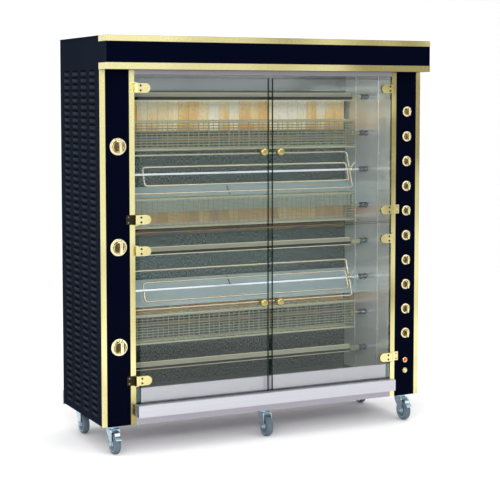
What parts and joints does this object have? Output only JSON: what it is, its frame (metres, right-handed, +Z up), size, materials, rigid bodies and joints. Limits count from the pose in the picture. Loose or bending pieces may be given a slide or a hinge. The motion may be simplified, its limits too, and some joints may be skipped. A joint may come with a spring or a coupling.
{
  "type": "rotisserie oven",
  "caption": "Free-standing gas wall rotisserie on casters, with motor-driven spits behind hinged glass doors, a drip tray and turning knobs.",
  "frame": {"origin": "on the floor, under the middle of the machine's bounding box", "axes": "+Z up, +X to the right as seen from the front, the doors face -Y"},
  "size_m": [1.375, 0.593, 1.551],
  "materials": {
    "navy_panel": "gloss dark blue enamel",
    "gold_trim": "brushed gold anodised",
    "brass": "polished",
    "slate_panel": "satin dark slate enamel",
    "stainless": "brushed",
    "liner_steel": "satin",
    "polished_steel": "polished stainless sheet",
    "dark_liner": "patterned heat-resistant enamel",
    "firebrick": "matte fired clay",
    "burner_steel": "heat-darkened",
    "motor_grey": "satin",
    "spit_steel": "satin, slightly heat-tinted",
    "glass": "clear toughened",
    "knob_gold": "brushed gold anodised",
    "knob_grip": "black",
    "lamp_red": "translucent red lens",
    "zinc": "zinc plated",
    "tyre": "black rubber"
  },
  "bodies": {
    "cabinet": {"base_frame": "stainless", "left_side_panel": "slate_panel", "right_side_panel": "slate_panel", "back_panel": "slate_panel", "hood": "navy_panel", "left_pillar_panel": "navy_panel", "right_pillar_panel": "navy_panel", "left_pillar_trim": "gold_trim", "right_pillar_trim": "gold_trim", "cavity_left_wall": "liner_steel", "cavity_right_wall": "polished_steel", "cavity_back_wall": "dark_liner", "front_sill": "stainless", "gearmotor_rail": "motor_grey", "gas_manifold": "brass", "firebrick_top": "firebrick", "burner_top": "burner_steel", "firebrick_middle": "firebrick", "burner_middle": "burner_steel", "firebrick_bottom": "firebrick", "burner_bottom": "burner_steel", "deflector_middle": "polished_steel", "deflector_bottom": "polished_steel"},
    "spit_1_v": {"spit_1_v": "spit_steel"},
    "spit_2_basket": {"spit_2_basket": "spit_steel"},
    "spit_3_leg": {"spit_3_leg": "spit_steel"},
    "spit_4_basket": {"spit_4_basket": "spit_steel"},
    "spit_5_v": {"spit_5_v": "spit_steel"},
    "spit_6_leg": {"spit_6_leg": "spit_steel"},
    "spit_7_basket": {"spit_7_basket": "spit_steel"},
    "spit_8_v": {"spit_8_v": "spit_steel"},
    "upper_left_door": {"upper_left_door": "glass"},
    "upper_right_door": {"upper_right_door": "glass"},
    "lower_left_door": {"lower_left_door": "glass"},
    "lower_right_door": {"lower_right_door": "glass"},
    "gas_knob_top": {"gas_knob_top": "knob_gold"},
    "gas_knob_middle": {"gas_knob_middle": "knob_gold"},
    "gas_knob_bottom": {"gas_knob_bottom": "knob_gold"},
    "switch_knob_1": {"switch_knob_1": "knob_grip"},
    "switch_knob_2": {"switch_knob_2": "knob_grip"},
    "switch_knob_3": {"switch_knob_3": "knob_grip"},
    "switch_knob_4": {"switch_knob_4": "knob_grip"},
    "switch_knob_5": {"switch_knob_5": "knob_grip"},
    "switch_knob_6": {"switch_knob_6": "knob_grip"},
    "switch_knob_7": {"switch_knob_7": "knob_grip"},
    "switch_knob_8": {"switch_knob_8": "knob_grip"},
    "switch_knob_9": {"switch_knob_9": "knob_grip"},
    "switch_knob_10": {"switch_knob_10": "knob_grip"},
    "igniter_button": {"igniter_button": "brass"},
    "drip_tray": {"drip_tray": "stainless"},
    "caster_fork_front_left": {"caster_fork_front_left": "zinc"},
    "caster_wheel_front_left": {"caster_wheel_front_left": "tyre"},
    "caster_fork_front_centre": {"caster_fork_front_centre": "zinc"},
    "caster_wheel_front_centre": {"caster_wheel_front_centre": "tyre"},
    "caster_fork_front_right": {"caster_fork_front_right": "zinc"},
    "caster_wheel_front_right": {"caster_wheel_front_right": "tyre"},
    "caster_fork_rear_left": {"caster_fork_rear_left": "zinc"},
    "caster_wheel_rear_left": {"caster_wheel_rear_left": "tyre"},
    "caster_fork_rear_right": {"caster_fork_rear_right": "zinc"},
    "caster_wheel_rear_right": {"caster_wheel_rear_right": "tyre"}
  },
  "joints": [
    {"name": "spit_1_v_turn", "type": "hinge", "parent": "cabinet", "child": "spit_1_v", "pos_m": [0, -0.0365, 1.329], "axis": [1, 0, 0], "continuous": true},
    {"name": "spit_2_basket_turn", "type": "hinge", "parent": "cabinet", "child": "spit_2_basket", "pos_m": [0, -0.0365, 1.1795], "axis": [1, 0, 0], "continuous": true},
    {"name": "spit_3_leg_turn", "type": "hinge", "parent": "cabinet", "child": "spit_3_leg", "pos_m": [0, -0.0365, 1.03], "axis": [1, 0, 0], "continuous": true},
    {"name": "spit_4_basket_turn", "type": "hinge", "parent": "cabinet", "child": "spit_4_basket", "pos_m": [0, -0.0365, 0.8805], "axis": [1, 0, 0], "continuous": true},
    {"name": "spit_5_v_turn", "type": "hinge", "parent": "cabinet", "child": "spit_5_v", "pos_m": [0, -0.0365, 0.731], "axis": [1, 0, 0], "continuous": true},
    {"name": "spit_6_leg_turn", "type": "hinge", "parent": "cabinet", "child": "spit_6_leg", "pos_m": [0, -0.0365, 0.5815], "axis": [1, 0, 0], "continuous": true},
    {"name": "spit_7_basket_turn", "type": "hinge", "parent": "cabinet", "child": "spit_7_basket", "pos_m": [0, -0.0365, 0.432], "axis": [1, 0, 0], "continuous": true},
    {"name": "spit_8_v_turn", "type": "hinge", "parent": "cabinet", "child": "spit_8_v", "pos_m": [0, -0.0365, 0.2825], "axis": [1, 0, 0], "continuous": true},
    {"name": "upper_left_door_hinge", "type": "hinge", "parent": "cabinet", "child": "upper_left_door", "pos_m": [-0.5505, -0.2375, 0.827], "axis": [0, 0, -1], "range_deg": [0, 110]},
    {"name": "upper_right_door_hinge", "type": "hinge", "parent": "cabinet", "child": "upper_right_door", "pos_m": [0.5505, -0.2375, 0.827], "axis": [0, 0, 1], "range_deg": [0, 110]},
    {"name": "lower_left_door_hinge", "type": "hinge", "parent": "cabinet", "child": "lower_left_door", "pos_m": [-0.5505, -0.2375, 0.827], "axis": [0, 0, -1], "range_deg": [0, 110]},
    {"name": "lower_right_door_hinge", "type": "hinge", "parent": "cabinet", "child": "lower_right_door", "pos_m": [0.5505, -0.2375, 0.827], "axis": [0, 0, 1], "range_deg": [0, 110]},
    {"name": "gas_knob_top_turn", "type": "hinge", "parent": "cabinet", "child": "gas_knob_top", "pos_m": [-0.6195, -0.2265, 1.1465], "axis": [0, -1, 0], "range_deg": [0, 180]},
    {"name": "gas_knob_middle_turn", "type": "hinge", "parent": "cabinet", "child": "gas_knob_middle", "pos_m": [-0.6195, -0.2265, 0.775], "axis": [0, -1, 0], "range_deg": [0, 180]},
    {"name": "gas_knob_bottom_turn", "type": "hinge", "parent": "cabinet", "child": "gas_knob_bottom", "pos_m": [-0.6195, -0.2265, 0.4035], "axis": [0, -1, 0], "range_deg": [0, 180]},
    {"name": "switch_knob_1_turn", "type": "hinge", "parent": "cabinet", "child": "switch_knob_1", "pos_m": [0.6245, -0.2265, 1.2695], "axis": [0, 1, 0], "range_deg": [0, 90]},
    {"name": "switch_knob_2_turn", "type": "hinge", "parent": "cabinet", "child": "switch_knob_2", "pos_m": [0.6245, -0.2265, 1.169], "axis": [0, 1, 0], "range_deg": [0, 90]},
    {"name": "switch_knob_3_turn", "type": "hinge", "parent": "cabinet", "child": "switch_knob_3", "pos_m": [0.6245, -0.2265, 1.0685], "axis": [0, 1, 0], "range_deg": [0, 90]},
    {"name": "switch_knob_4_turn", "type": "hinge", "parent": "cabinet", "child": "switch_knob_4", "pos_m": [0.6245, -0.2265, 0.968], "axis": [0, 1, 0], "range_deg": [0, 90]},
    {"name": "switch_knob_5_turn", "type": "hinge", "parent": "cabinet", "child": "switch_knob_5", "pos_m": [0.6245, -0.2265, 0.8675], "axis": [0, 1, 0], "range_deg": [0, 90]},
    {"name": "switch_knob_6_turn", "type": "hinge", "parent": "cabinet", "child": "switch_knob_6", "pos_m": [0.6245, -0.2265, 0.767], "axis": [0, 1, 0], "range_deg": [0, 90]},
    {"name": "switch_knob_7_turn", "type": "hinge", "parent": "cabinet", "child": "switch_knob_7", "pos_m": [0.6245, -0.2265, 0.6665], "axis": [0, 1, 0], "range_deg": [0, 90]},
    {"name": "switch_knob_8_turn", "type": "hinge", "parent": "cabinet", "child": "switch_knob_8", "pos_m": [0.6245, -0.2265, 0.566], "axis": [0, 1, 0], "range_deg": [0, 90]},
    {"name": "switch_knob_9_turn", "type": "hinge", "parent": "cabinet", "child": "switch_knob_9", "pos_m": [0.6245, -0.2265, 0.4655], "axis": [0, 1, 0], "range_deg": [0, 90]},
    {"name": "switch_knob_10_turn", "type": "hinge", "parent": "cabinet", "child": "switch_knob_10", "pos_m": [0.6245, -0.2265, 0.365], "axis": [0, 1, 0], "range_deg": [0, 90]},
    {"name": "igniter_button_press", "type": "slide", "parent": "cabinet", "child": "igniter_button", "axis": [0, 1, 0], "range_m": [0, 0.004], "stiffness_N_per_m": 300, "springref_m": -0.002},
    {"name": "drip_tray_slide", "type": "slide", "parent": "cabinet", "child": "drip_tray", "axis": [0, -1, 0], "range_m": [0, 0.3]},
    {"name": "caster_swivel_front_left", "type": "hinge", "parent": "cabinet", "child": "caster_fork_front_left", "pos_m": [-0.6325, -0.1785, 0.107], "axis": [0, 0, 1], "continuous": true},
    {"name": "caster_roll_front_left", "type": "hinge", "parent": "caster_fork_front_left", "child": "caster_wheel_front_left", "pos_m": [-0.6325, -0.2065, 0.04], "axis": [1, 0, 0], "continuous": true},
    {"name": "caster_swivel_front_centre", "type": "hinge", "parent": "cabinet", "child": "caster_fork_front_centre", "pos_m": [0, -0.1785, 0.107], "axis": [0, 0, 1], "continuous": true},
    {"name": "caster_roll_front_centre", "type": "hinge", "parent": "caster_fork_front_centre", "child": "caster_wheel_front_centre", "pos_m": [0, -0.2065, 0.04], "axis": [1, 0, 0], "continuous": true},
    {"name": "caster_swivel_front_right", "type": "hinge", "parent": "cabinet", "child": "caster_fork_front_right", "pos_m": [0.6325, -0.1785, 0.107], "axis": [0, 0, 1], "continuous": true},
    {"name": "caster_roll_front_right", "type": "hinge", "parent": "caster_fork_front_right", "child": "caster_wheel_front_right", "pos_m": [0.6325, -0.2065, 0.04], "axis": [1, 0, 0], "continuous": true},
    {"name": "caster_swivel_rear_left", "type": "hinge", "parent": "cabinet", "child": "caster_fork_rear_left", "pos_m": [-0.6325, 0.1735, 0.107], "axis": [0, 0, 1], "continuous": true},
    {"name": "caster_roll_rear_left", "type": "hinge", "parent": "caster_fork_rear_left", "child": "caster_wheel_rear_left", "pos_m": [-0.6325, 0.1455, 0.04], "axis": [1, 0, 0], "continuous": true},
    {"name": "caster_swivel_rear_right", "type": "hinge", "parent": "cabinet", "child": "caster_fork_rear_right", "pos_m": [0.6325, 0.1735, 0.107], "axis": [0, 0, 1], "continuous": true},
    {"name": "caster_roll_rear_right", "type": "hinge", "parent": "caster_fork_rear_right", "child": "caster_wheel_rear_right", "pos_m": [0.6325, 0.1455, 0.04], "axis": [1, 0, 0], "continuous": true}
  ]
}
